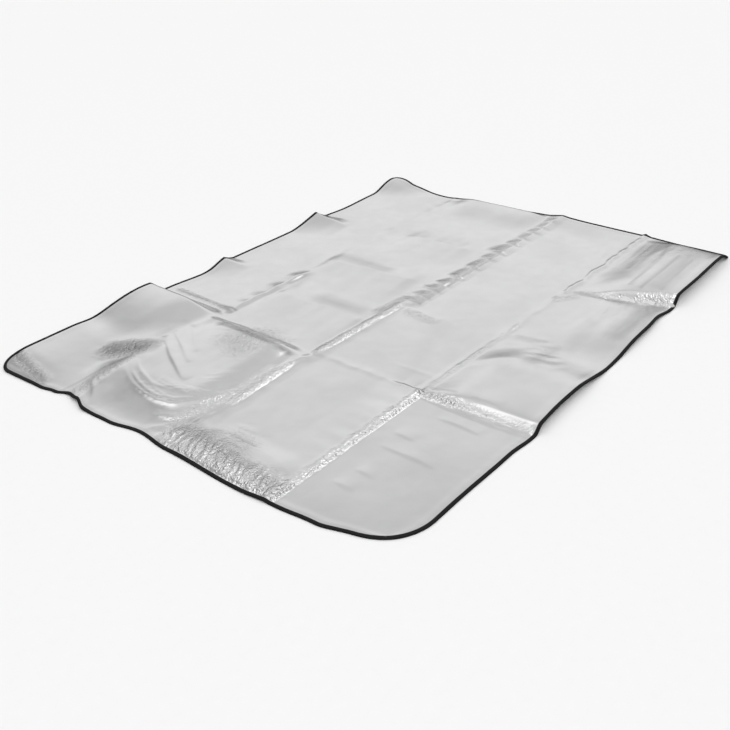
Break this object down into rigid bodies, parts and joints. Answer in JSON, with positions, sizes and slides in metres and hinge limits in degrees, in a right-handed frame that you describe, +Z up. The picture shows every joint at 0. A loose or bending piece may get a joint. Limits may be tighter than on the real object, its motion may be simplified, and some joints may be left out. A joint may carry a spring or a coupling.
{
  "type": "foil sleeping mat",
  "caption": "Rectangular foil-faced foam sleeping mat opened out on a floor, with soft swells, lifted edges and fold lines from storage, and a black edge binding.",
  "frame": {"origin": "centre of the mat's outline, on the floor that it lies on", "axes": "+X along the mat's length, +Y across its width towards the edge with the lifted crests, +Z up off the floor"},
  "size_m": [1.9994, 1.4999, 0.0502],
  "materials": {
    "foil": "bright silver foil film with fine crinkles and soft creases, laminated on white closed-cell foam",
    "binding_tape": "matt black woven binding tape, folded over the edge and lockstitched"
  },
  "bodies": {
    "root": {"foil_sheet": "foil", "edge_binding": "binding_tape"}
  },
  "joints": []
}
